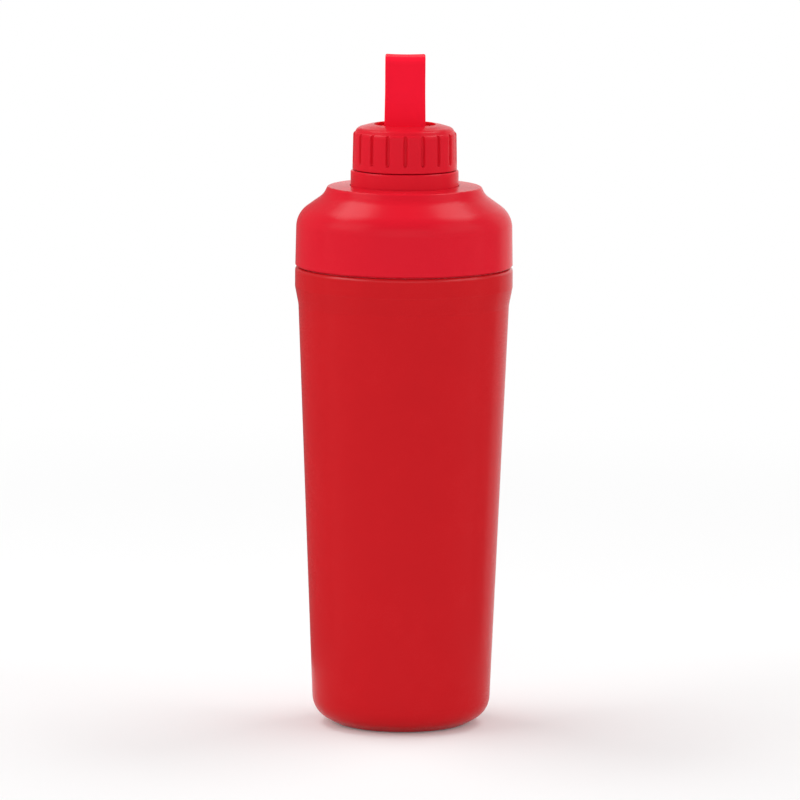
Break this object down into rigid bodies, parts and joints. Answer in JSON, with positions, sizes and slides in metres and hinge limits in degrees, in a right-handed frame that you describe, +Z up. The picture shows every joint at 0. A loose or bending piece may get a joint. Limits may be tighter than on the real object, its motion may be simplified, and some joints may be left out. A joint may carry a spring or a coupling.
{
  "type": "water bottle",
  "caption": "Tapered double-walled drinking bottle with a bell-shaped screw lid, a fluted screw cap over its spout and an upright swivelling carry loop.",
  "frame": {"origin": "centre of the foot, on the surface that the bottle stands on", "axes": "+Z up along the bottle's axis, which all screws and the swivel share; +X along the width of the carry loop's band, -Y towards the viewer of the picture"},
  "size_m": [0.0894, 0.0894, 0.2766],
  "materials": {
    "red_plastic": "satin moulded red polypropylene",
    "liner_plastic": "natural pale polypropylene",
    "soft_ring": "soft silicone",
    "bare_steel": "plain stainless steel",
    "loop_plastic": "flexible red plastic, slightly brighter than the shells"
  },
  "bodies": {
    "cup": {"cup_shell": "red_plastic", "cup_liner": "liner_plastic"},
    "lid_ring": {"lid_seal": "soft_ring"},
    "lid": {"lid_shell": "red_plastic", "lid_core": "red_plastic"},
    "cap_ring": {"cap_seal": "soft_ring"},
    "cap": {"cap_shell": "red_plastic", "cap_core": "red_plastic", "loop_rivet": "bare_steel"},
    "loop": {"carry_loop": "loop_plastic"}
  },
  "joints": [
    {"name": "lid_lift", "type": "slide", "parent": "cup", "child": "lid_ring", "axis": [0, 0, 1], "range_m": [0, 0.0068]},
    {"name": "lid_turn", "type": "hinge", "parent": "lid_ring", "child": "lid", "pos_m": [0, 0, 0.1896], "axis": [0, 0, 1], "range_deg": [0, 540]},
    {"name": "cap_lift", "type": "slide", "parent": "lid", "child": "cap_ring", "axis": [0, 0, 1], "range_m": [0, 0.0055]},
    {"name": "cap_turn", "type": "hinge", "parent": "cap_ring", "child": "cap", "pos_m": [0, 0, 0.2295], "axis": [0, 0, 1], "range_deg": [0, 540]},
    {"name": "loop_swivel", "type": "hinge", "parent": "cap", "child": "loop", "pos_m": [0, 0, 0.2447], "axis": [0, 0, 1], "continuous": true}
  ],
  "couplings": [
    {"joint": "lid_lift", "follows": "lid_turn", "m_per_rad": 0.0007162},
    {"joint": "cap_lift", "follows": "cap_turn", "m_per_rad": 0.00057296}
  ]
}
